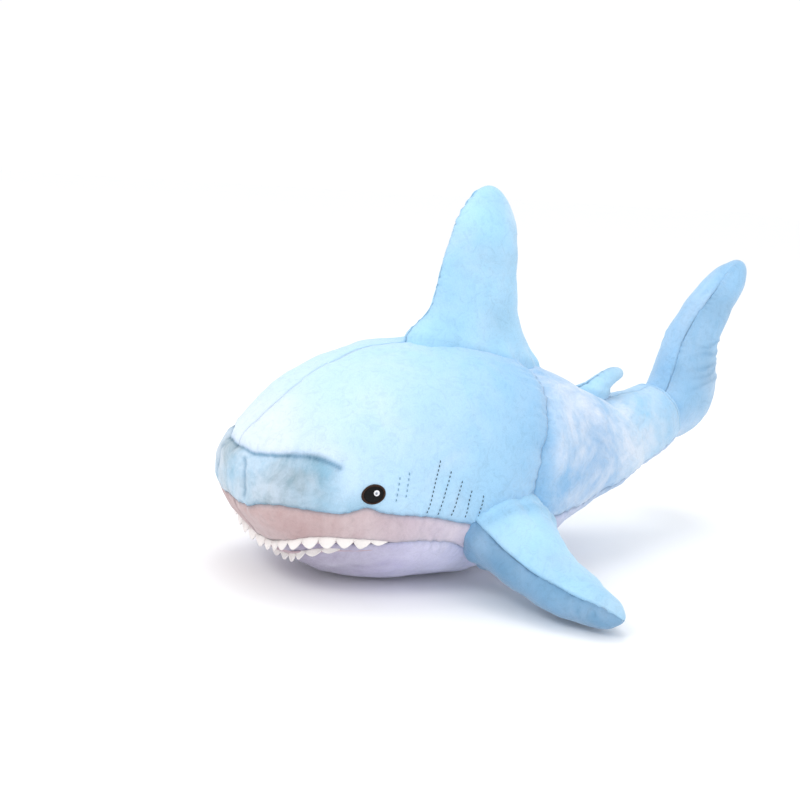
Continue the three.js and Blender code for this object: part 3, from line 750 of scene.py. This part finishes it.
# -------- fins
class Fin:
    """A stuffed fin: an oval section swept along a path, of two panels sewn at their edges."""

    def __init__(self, path, chords, stations, tip_round, root_round=0, lead=None):
        self.points = self.walk([np.array(p, float) for p in path])
        gaps = np.linalg.norm(np.diff(self.points, axis=0), axis=1)
        self.walked = np.concatenate([[0], np.cumsum(gaps)])
        self.length = self.walked[-1]
        self.chords = [np.array(c, float) for c in chords]
        self.chord, self.thick = through(stations, 1), through(stations, 2)
        self.tip_round, self.root_round = tip_round, root_round
        self.lead = lead or (lambda t: 0 * t)

    @staticmethod
    def walk(points, count=60):
        """A centripetal Catmull-Rom curve as a dense line."""
        points = [2 * points[0] - points[1], *points, 2 * points[-1] - points[-2]]
        line = []
        for p0, p1, p2, p3 in zip(points, points[1:], points[2:], points[3:]):
            d0, d1, d2 = (math.sqrt(np.linalg.norm(q - p)) for p, q in ((p0, p1), (p1, p2), (p2, p3)))
            m1 = d1 * ((p1 - p0) / d0 - (p2 - p0) / (d0 + d1) + (p2 - p1) / d1)
            m2 = d1 * ((p2 - p1) / d1 - (p3 - p1) / (d1 + d2) + (p3 - p2) / d2)
            t = np.linspace(0, 1, count, endpoint=False)[:, None]
            line.append((2 * t**3 - 3 * t**2 + 1) * p1 + (t**3 - 2 * t**2 + t) * m1
                        + (3 * t**2 - 2 * t**3) * p2 + (t**3 - t**2) * m2)
        return np.vstack([*line, points[-2][None]])

    def centre(self, t):
        goal = np.clip(t, 0, 1) * self.length
        inside = np.stack([np.interp(goal, self.walked, self.points[:, k]) for k in range(3)], -1)
        first = unit(self.points[3] - self.points[0])
        return inside + first * (np.minimum(t, 0) * self.length)[..., None]

    def point(self, t, q):
        """The surface at a share t of the length and an angle q round the section."""
        centre = self.centre(t)
        tangent = unit(self.centre(t + 0.01) - self.centre(t - 0.01))
        blend = np.clip(t, 0, 1)[..., None]
        chord = unit(self.chords[0] * (1 - blend) + self.chords[1] * blend)
        flat = unit(np.cross(tangent, chord))
        tip = self.rounding((1 - t) * self.length, self.tip_round)
        root = self.rounding(t * self.length, self.root_round) if self.root_round else 1
        half_chord = self.chord(t) / 2 * tip * root
        leading = np.where(np.cos(q) > 0, self.lead(t), 0)
        half_thick = self.thick(t) / 2 * tip * root
        along = -(half_chord + leading) * np.cos(q)
        across = half_thick * np.sign(np.sin(q)) * np.abs(np.sin(q)) ** 1.12
        return centre + chord * along[..., None] + flat * across[..., None]

    @staticmethod
    def rounding(distance, length):
        return np.sqrt(1 - (1 - np.clip(distance / max(length, 1e-6), 0, 1)) ** 2)


def ripple(x, rng, low, high):
    """Four waves of random rates between low and high, added together."""
    rates, starts = rng.uniform(low, high, 4), rng.uniform(0, 6, 4)
    return sum(np.sin(x * k + p) for k, p in zip(rates, starts)) / 2


def fin_panel(name, fin, side, root, seed, tint, white, wrinkle_at=0.0, wrinkle=2.0, lead_turn=0.0,
              crease=3.2, painted_seam_shade=0.5, creases=()):
    """One panel of a fin. side is 1 for the panel that the section's flat direction points to.

    root is the share of the length where it starts, below 0 inside the body. white gives the dye's
    paleness along it. lead_turn is how far round the section, in degrees, the front seam lies from
    the edge. creases are the shares of the length where the cloth is crumpled, with painted shade in the
    crumples.
    """
    rows = int(fin.length * (1 - root) / CELL)
    columns = int(fin.chord(0.3) * 1.35 / CELL)
    share = np.linspace(0, 1, rows)
    t = root + (1 - root) * (1 - (1 - share) ** 1.35)
    t = np.minimum(t, 1 - 1e-5)
    if fin.root_round:
        t = np.maximum(1e-5, t)
    q = np.linspace(math.radians(lead_turn), math.pi * side, columns)
    tt, qq = np.meshgrid(t, q, indexing="ij")
    points = fin.point(tt, qq)
    normals = grid_normals(points, side)
    round_from = np.abs(qq - q[0]), np.abs(qq - q[-1])
    from_edge = np.minimum(*round_from) * fin.chord(tt) / 2
    walked = tt * fin.length
    rng = np.random.default_rng(seed)
    edge_ripple = ripple(walked, rng, 0.45, 0.95)
    folds = ripple(qq, rng, 7, 17)
    from_root = np.abs(walked - wrinkle_at * fin.length)
    out = -1.7 * np.exp(-((from_edge / 4.5) ** 2)) + 0.75 * edge_ripple * np.exp(-((from_edge / 11) ** 2))
    out += wrinkle * folds * np.exp(-((from_root / 16) ** 2)) * smooth(from_edge, 0, 20)
    out += 0.9 * waves(points, 60, seed + 20) + 0.35 * waves(points, 26, seed + 40)
    out -= crease * np.exp(-((from_root / 7) ** 2)) * (0 if fin.root_round else 1)
    crumple = np.zeros_like(tt)
    for at in creases:
        wander = 3 * np.sin(qq * 2.2 + at * 40) + 1.5 * np.sin(qq * 5 + at * 90)
        line = np.exp(-((((tt - at) * fin.length - wander) / 2.6) ** 2))
        crumple = np.maximum(crumple, line * smooth(from_edge, 3, 16) * smooth(np.abs(qq), 0.7, 1.5))
    out -= 1.5 * crumple
    out *= smooth(np.minimum((1 - tt) * fin.length, 12), 0, 12)
    points = points + normals * (out * smooth(from_edge, -3, 2))[..., None]
    quads = grid_quads(*points.shape[:2])
    if side < 0:
        quads = quads[:, ::-1]
    flat = points.reshape(-1, 3)
    obj = new_object(name, flat, quads)
    shade = 0.05 * waves(flat, 70, seed + 60)[:, None]
    add_colour(obj, "tint", np.clip(linear(tint) * (1 + shade), 0, 1))
    add_float(obj, "whitening", np.clip(white(tt.ravel()) + 0.1 * waves(flat, 80, seed + 80), 0, 1))
    add_float(obj, "teal", np.zeros(len(flat)))
    # Painted shade along the edge seams, round the root where the fin meets the body, and in the crumples.
    at_root = np.exp(-((from_root / 5) ** 2)) * (0 if fin.root_round else 0.5)
    shade = np.maximum(painted_seam_shade * np.exp(-((from_edge / 2.2) ** 2)), 0.2 * crease * at_root)
    add_float(obj, "crease", np.maximum(shade, 0.4 * crumple).ravel())
    return thicken(obj, FIN_PANEL)


def grid_normals(points, side):
    """Smooth normals of a grid of points, pointing out of the fin."""
    along, around = np.gradient(points, axis=0), np.gradient(points, axis=1)
    return unit(np.cross(around, along)) * side


PECTORAL = dict(
    path=[(135, 78, 66), (186, 88, 43), (236, 106, 28), (284, 125, 21)],
    chords=[(-0.12, 0.99, 0), (-0.3, 0.9, -0.12)],
    stations=[(-0.16, 120, 90), (0, 111, 78), (0.14, 103, 69), (0.3, 93, 61), (0.6, 74, 50), (1, 47, 37)],
    tip_round=62,
)
for side, name in ((1, "left"), (-1, "right")):
    flip = np.array([side, 1, 1])
    fin = Fin(**{**PECTORAL, "path": np.array(PECTORAL["path"]) * flip,
                 "chords": np.array(PECTORAL["chords"]) * flip})
    # The bottom panels take a darker copy of the same blue: painted shade.
    for part, facing, tint in (("top", side, FIN_BLUE), ("bottom", -side, FIN_BLUE_PAINTED_SHADE)):
        panel = fin_panel(
            f"pectoral_{name}_{part}", fin, facing, -0.16, 3 + side + facing, tint,
            lambda t: 0.1 + 0.15 * smooth(t, 0.5, 1), wrinkle_at=-0.02, wrinkle=1.6, lead_turn=side * 30,
        )
        finish_piece(
            panel, "blue", "plush_blue",
            f"pectoral_{name}_{part}_panel", f"pectoral_{name}_filling", fill=0.8,
        )
        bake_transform(panel)

dorsal = Fin(
    path=[(0, 84, 272), (-5, 85, 330), (-13, 92, 390), (-26, 99, 443)],
    chords=[(0, 1, -0.2), (0, 1, 0.05)],
    stations=[
        (-0.3, 196, 92), (-0.1, 174, 82), (0, 148, 71), (0.08, 127, 65), (0.16, 113, 61),
        (0.35, 101, 57), (0.6, 86, 50), (1, 54, 36),
    ],
    tip_round=50,
)
for part, facing in (("right", 1), ("left", -1)):
    panel = fin_panel(f"dorsal_{part}", dorsal, facing, -0.28, 31 + facing, FIN_BLUE,
                      lambda t: 0.15 + 0.1 * t, wrinkle_at=-0.1, wrinkle=1.6, crease=1.2)
    finish_piece(panel, "blue", "plush_blue", f"dorsal_{part}_panel", "dorsal_filling", fill=0.75)
    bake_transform(panel)

ridge_top = body_top(SECOND_DORSAL_AT)


def ridge_point(along, up):
    return ridge_centre + ridge_up * (ridge_top + up - AXIS_HEIGHT) + ridge_forward * along


second_dorsal = Fin(
    path=[ridge_point(2, 1), ridge_point(15, 8), ridge_point(31, 14), ridge_point(47, 20)],
    chords=[ridge_forward - 0.26 * ridge_up, ridge_forward - 0.4 * ridge_up],
    stations=[(-0.25, 56, 34), (0, 46, 28), (0.3, 34, 25), (0.7, 27, 23), (1, 24, 20)],
    tip_round=15,
)
for part, facing in (("right", 1), ("left", -1)):
    panel = fin_panel(f"second_dorsal_{part}", second_dorsal, facing, -0.22, 41 + facing, FIN_BLUE,
                      lambda t: 0.3 + 0 * t, wrinkle=0.9)
    replaced = f"second_dorsal_{part}_panel", "second_dorsal_filling"
    finish_piece(panel, "blue", "plush_blue", *replaced, fill=0.75)
    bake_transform(panel)

stalk_centre, stalk_forward, stalk_left, stalk_up = spine_frame(np.array(float(TAIL_END)))


def tail_point(along, up, left):
    return stalk_centre + stalk_forward * along + stalk_up * up + stalk_left * left


def tail_lead(t):
    """The middle of the tail fin reaches forward into the end of the stalk."""
    return 36 * np.exp(-(((t - 0.33) / 0.11) ** 2))


tail = Fin(
    path=[tail_point(92, -58, -80), tail_point(74, -46, -30), tail_point(62, -4, 0),
          tail_point(90, 80, 12), tail_point(176, 152, 38)],
    chords=[stalk_forward, stalk_forward - 0.6 * stalk_up],
    stations=[(0, 62, 46), (0.2, 86, 60), (0.36, 103, 74), (0.7, 76, 54), (1, 46, 40)],
    tip_round=46, root_round=36, lead=tail_lead,
)
# TAIL_BLUE is darker and greyer than the other fins: partly the dye, partly painted shade.
for part, facing in (("right", 1), ("left", -1)):
    panel = fin_panel(
        f"tail_{part}", tail, facing, 0.0, 51 + facing, TAIL_BLUE,
        lambda t: 0.55 - 0.4 * smooth(t, 0.25, 0.5), wrinkle_at=0.33, wrinkle=1.2, lead_turn=-22,
        painted_seam_shade=0.15, creases=(0.45, 0.495, 0.53, 0.575, 0.62),
    )
    finish_piece(panel, "blue", "plush_blue", f"tail_{part}_panel", "tail_filling", fill=0.8)
    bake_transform(panel)

# The stalk's end, a round stuffed cap under the tail fin.
CAP_DEPTH = 18
ring = grid_point[-1]
middle = ring.mean(0)
tilt = np.radians(np.linspace(0, 90, 10))
layers = [
    middle + (ring - middle) * max(math.cos(t), 0.001) + stalk_forward * CAP_DEPTH * math.sin(t)
    for t in tilt
]
cap_quads = grid_quads(len(layers), COLUMNS, closed=True)[:, [1, 2, 3, 0]]
cap_points = np.vstack(layers)
cap = new_object("stalk_end", cap_points, cap_quads)
add_colour(cap, "tint", tint_along(np.full(len(cap_points), float(TAIL_END)), TINTS))
add_float(cap, "whitening", np.full(len(cap_points), 0.3))
add_float(cap, "teal", np.zeros(len(cap_points)))
add_float(cap, "crease", np.zeros(len(cap_points)))
thicken(cap)
finish_piece(cap, "blue", "plush_pale", fill=0.8)
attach(cap, "rear_body")


# -------- mouth
def mouth_angle(s, lower):
    """The left flank's angle where the skin meets the mouth's arch, or a line lower than it."""
    return angle_below(s, 90.0, lambda at, leftward: at > mouth_height(leftward, s) - lower)


def mouth_path(lower, corner, count):
    """Evenly spaced places (s, a) round the mouth's edge, from its right corner to its left."""
    dense = np.arange(0, 100, 0.05)
    front = dense[np.argmax(body_bottom(dense) < mouth_height(0, dense) - lower)]
    s = front + (corner - front) * np.linspace(0, 1, 300) ** 3
    a = mouth_angle(s, lower)
    s, a = np.concatenate([s[:0:-1], s]), np.concatenate([360 - a[:0:-1], a])
    points = plain_skin(s, a)
    walked = np.concatenate([[0], np.cumsum(np.linalg.norm(np.diff(points, axis=0), axis=1))])
    even = np.linspace(0, walked[-1], count)
    return np.interp(even, walked, s), np.interp(even, walked, a), walked[-1]


def teeth_strip(name, count, drop, corner, lower, out_top, out_bottom, seed):
    """A felt strip cut into rounded points, sewn under the lip's edge."""
    per_tooth, layers = 12, 9
    total = count * per_tooth + 1
    s, a, length = mouth_path(lower, corner, total)
    points, normals = surface(s, a)
    share = np.linspace(0, 1, total)
    across = np.abs(2 * np.mod(share * count, 1) - 1)
    rng = np.random.default_rng(seed)
    which = np.minimum((share * count).astype(int), count - 1)
    size = rng.uniform(0.86, 1.08, count)[which]
    lean = rng.uniform(-1.2, 1.2, count)[which]
    point_shape = 1 - across**1.8
    ends = np.clip(0.35 + 7 * np.minimum(share, 1 - share), 0, 1)
    depth = drop * ends * (0.12 + 0.88 * point_shape * size)
    outward = unit(normals * np.array([1, 1, 0]))
    rows = []
    for v in np.linspace(0, 1, layers):
        fall = down * (depth * v)[:, None]
        flare = outward * (out_top + (out_bottom - out_top) * v**0.8 * ends + 0.5 * lean * v**2)[:, None]
        rows.append(points + flare + fall)
    grid = np.array(rows)
    obj = new_object(name, grid.reshape(-1, 3), grid_quads(layers, total)[:, FLIPPED])
    thicken(obj, FELT)
    diagonals = np.cross(grid[1:, 1:] - grid[:-1, :-1], grid[1:, :-1] - grid[:-1, 1:])
    area = np.linalg.norm(diagonals, axis=-1).sum() / 2 * MM * MM
    tallest = depth.max() * MM
    return obj, area, (length * MM, tallest)


for name, body, count, drop, corner, lower, out_top, out_bottom in (
    ("upper_teeth", "torso", 20, 12, 138, -0.6, -0.6, 4.0),
    ("lower_teeth", "lower_jaw", 12, 9, 92, MOUTH_GAP + 0.5, 0.4, 2.6),
):
    strip, area, flat = teeth_strip(name + "_strip", count, drop, corner, lower, out_top, out_bottom, count)
    finish_piece(strip, "felt", "felt", name)
    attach(strip, body)


def lining(name, lower, rear_gap, inset, puff):
    """The cloth across the roof or the floor of the mouth."""
    rows, columns = 40, 61
    s = np.linspace(MOUTH_FRONT_AT + 2, MOUTH_CORNER + 6, rows)
    gap = lower + (rear_gap - lower) * smooth(s, 104, 150)
    left = plain_skin(s, mouth_angle(s, gap + 0.01))[:, 0] - inset
    left = np.maximum(left, 2)
    x = np.linspace(-1, 1, columns)[None] * left[:, None]
    ss = np.repeat(s[:, None], columns, 1)
    z = mouth_height(x, ss) - gap[:, None] + puff * (1 - (x / left[:, None]) ** 2)
    y = ss - BELLY_AT
    points = np.stack([x, y, z + 0.4 * waves(np.stack([x, y, z], -1), 22, 7)], -1)
    obj = new_object(name, points.reshape(-1, 3), grid_quads(rows, columns))
    thicken(obj, LINING)
    return obj, (2 * left.max() * MM, (s[-1] - s[0]) * MM), 2 * np.trapz(left, s) * MM * MM


for name, body, lower, rear_gap, puff, rests in (
    ("mouth_roof", "torso", 0.0, 0.0, 1.5, ["lip_left", "lip_right"]),
    ("mouth_floor", "lower_jaw", float(MOUTH_GAP), 3.8, -1.5, ["chin_and_belly"]),
):
    cloth, flat, area = lining(name, lower, rear_gap, 3.4, puff)
    finish_piece(cloth, "lining", "mouth_lining", name + "_lining")
    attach(cloth, body)


# -------- eyes
def eye_axes(side):
    """Centre on the skin, outward, rearward and up directions of an eye, tilted."""
    centre, normal = surface(np.array([EYE_AT * 1.0]), np.array([side * EYE_ANGLE * 1.0]))
    out = normal[0]
    rear = unit(np.array([0, 1.0, 0]) - out * out[1])
    up = np.cross(out, rear)
    up = up if up[2] > 0 else -up
    c, s = math.cos(math.radians(EYE_TILT)), math.sin(math.radians(EYE_TILT))
    return centre[0], out, rear * c + up * s, up * c - rear * s


def oval_patch(name, axes, offset, long, short, height, base, hole):
    """A domed oval of stitches, or a ring of them, lying on the skin."""
    centre, out, rear, up = axes
    steps, turns = 10, 48
    radii = np.linspace(hole, 1, steps)
    turn = np.linspace(0, 2 * math.pi, turns, endpoint=False)
    verts = []
    for r in radii:
        inside = (r - hole) / (1 - hole)
        dome = height * (4 * inside * (1 - inside) if hole else 1 - inside**2.2) + base
        if r == radii[-1]:
            dome = base - EYE_EDGE_SUNK
        for w in turn:
            along, above = offset[0] + long * r * math.cos(w), offset[1] + short * r * math.sin(w)
            verts.append(centre + rear * along + up * above + out * dome)
    return new_object(name, verts, grid_quads(steps, turns, closed=True))


for side, name in ((1, "left"), (-1, "right")):
    axes = eye_axes(side)
    shine = EYE_LONG * 0.24, EYE_SHORT * 0.12
    parts = [
        ("rim", (0, 0), EYE_LONG * 1.04, EYE_SHORT * 1.05, 1.2, 0.6, 0.82, "rim", "eye_rim"),
        ("pupil", (0, 0), EYE_LONG * 0.95, EYE_SHORT * 0.95, 2.4, 0.9, 0.0, "pupil", "eye_black"),
        ("highlight", shine, 3.1, 3.0, 0.7, 2.9, 0.45, "white", "eye_white"),
        ("highlight_middle", shine, 1.6, 1.5, 0.4, 2.9, 0.0, "grey", "eye_white"),
    ]
    for part, offset, long, short, height, base, hole, material, slot in parts:
        patch = oval_patch(f"eye_{name}_{part}", axes, offset, long, short, height, base, hole)
        nodes = [f"eye_{part}_{name}"] if part != "highlight_middle" else []
        finish_piece(patch, material, slot, *nodes)
        thicken(patch, 0.5)
        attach(patch, "torso")


# -------- gill stitches
def stitch_row(name, row, side, length=3.0, space=1.7, radius=0.55):
    """A row of short running stitches, lying in the pile."""
    top_s, top_z, low_s, low_z = row
    reach = math.hypot(top_s - low_s, top_z - low_z)
    count = int(reach / (length + space))
    verts, faces = [], []
    for k in range(count):
        ends = [(k * (length + space)) / reach, (k * (length + space) + length) / reach]
        s = np.array([top_s + (low_s - top_s) * e for e in ends])
        z = np.array([top_z + (low_z - top_z) * e for e in ends])
        points, normals = surface(s, side * flank_angle(s, z))
        along = unit(points[1] - points[0])
        out = unit(normals.mean(0))
        across = np.cross(out, along)
        rings, turns = 7, 8
        first = len(verts)
        for i in range(rings):
            t = i / (rings - 1)
            swell = math.sqrt(max(1 - (2 * t - 1) ** 2, 0.02))
            mid = points[0] * (1 - t) + points[1] * t + out * (0.55 * swell + 0.1)
            for j in range(turns):
                w = 2 * math.pi * j / turns
                verts.append(mid + (across * math.cos(w) + out * math.sin(w) * 0.8) * radius * swell)
        faces += list(first + grid_quads(rings, turns, closed=True))
        faces.append(tuple(first + j for j in range(turns))[::-1])
        faces.append(tuple(first + (rings - 1) * turns + j for j in range(turns)))
    return new_object(name, verts, faces)


for side, name in ((1, "left"), (-1, "right")):
    for i, row in enumerate(GILLS):
        stitches = stitch_row(f"gill_{name}_{i + 1}", row, side)
        finish_piece(stitches, "gill", "thread", f"gill_stitch_{name}_{i + 1}")
        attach(stitches, "torso")
    for i, row in enumerate(FAINT_GILLS):
        stitches = stitch_row(f"gill_faint_{name}_{i + 1}", row, side, 3.4, 2.6, 0.5)
        finish_piece(stitches, "gill_faint", "thread")
        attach(stitches, "torso")

# -------- floor, light and camera
bpy.ops.mesh.primitive_plane_add(size=12, location=(0, 0, -0.001))
floor = bpy.context.object
floor.name = "floor"
floor_material, _, floor_shader = new_material("pale floor")
floor_shader.inputs["Base Color"].default_value = (0.98, 0.98, 0.985, 1)
floor_shader.inputs["Roughness"].default_value = 0.9
floor.data.materials.append(floor_material)

world = bpy.data.worlds.new("studio")
world.use_nodes = True
world.node_tree.nodes["Background"].inputs["Color"].default_value = (0.985, 0.99, 1, 1)
world.node_tree.nodes["Background"].inputs["Strength"].default_value = 1.03
bpy.context.scene.world = world


def soft_light(name, place, target, size, watts):
    data = bpy.data.lights.new(name, "AREA")
    data.shape = "DISK"
    data.size = size
    data.energy = watts
    light = bpy.data.objects.new(name, data)
    light.location = place
    light.rotation_euler = (Vector(target) - Vector(place)).to_track_quat("-Z", "Y").to_euler()
    bpy.context.scene.collection.objects.link(light)


soft_light("key", (0.7, -1.7, 1.9), (0, 0, 0.1), 0.9, 12)
soft_light("top", (-0.4, 0.2, 2.2), (0, 0.1, 0.1), 1.2, 8)

CAMERA_AT = Vector((1.3826, -0.7795, 0.5326))
CAMERA_AIM = Vector((-0.0547, 0.0231, 0.1822))
CAMERA_UP = Vector((-0.2593, 0.0387, 0.9647))  # leans a little: the view is rolled
back_way = (CAMERA_AT - CAMERA_AIM).normalized()
right_way = CAMERA_UP.cross(back_way).normalized()
camera_data = bpy.data.cameras.new("camera")
camera_data.lens = 63
camera_data.sensor_width = 36
camera = bpy.data.objects.new("camera", camera_data)
turn = Matrix((right_way, back_way.cross(right_way), back_way)).transposed()
camera.matrix_world = Matrix.Translation(CAMERA_AT) @ turn.to_4x4()
bpy.context.scene.collection.objects.link(camera)
bpy.context.scene.camera = camera
bpy.context.scene.view_settings.view_transform = "Standard"

# -------- last update
bpy.context.view_layer.update()
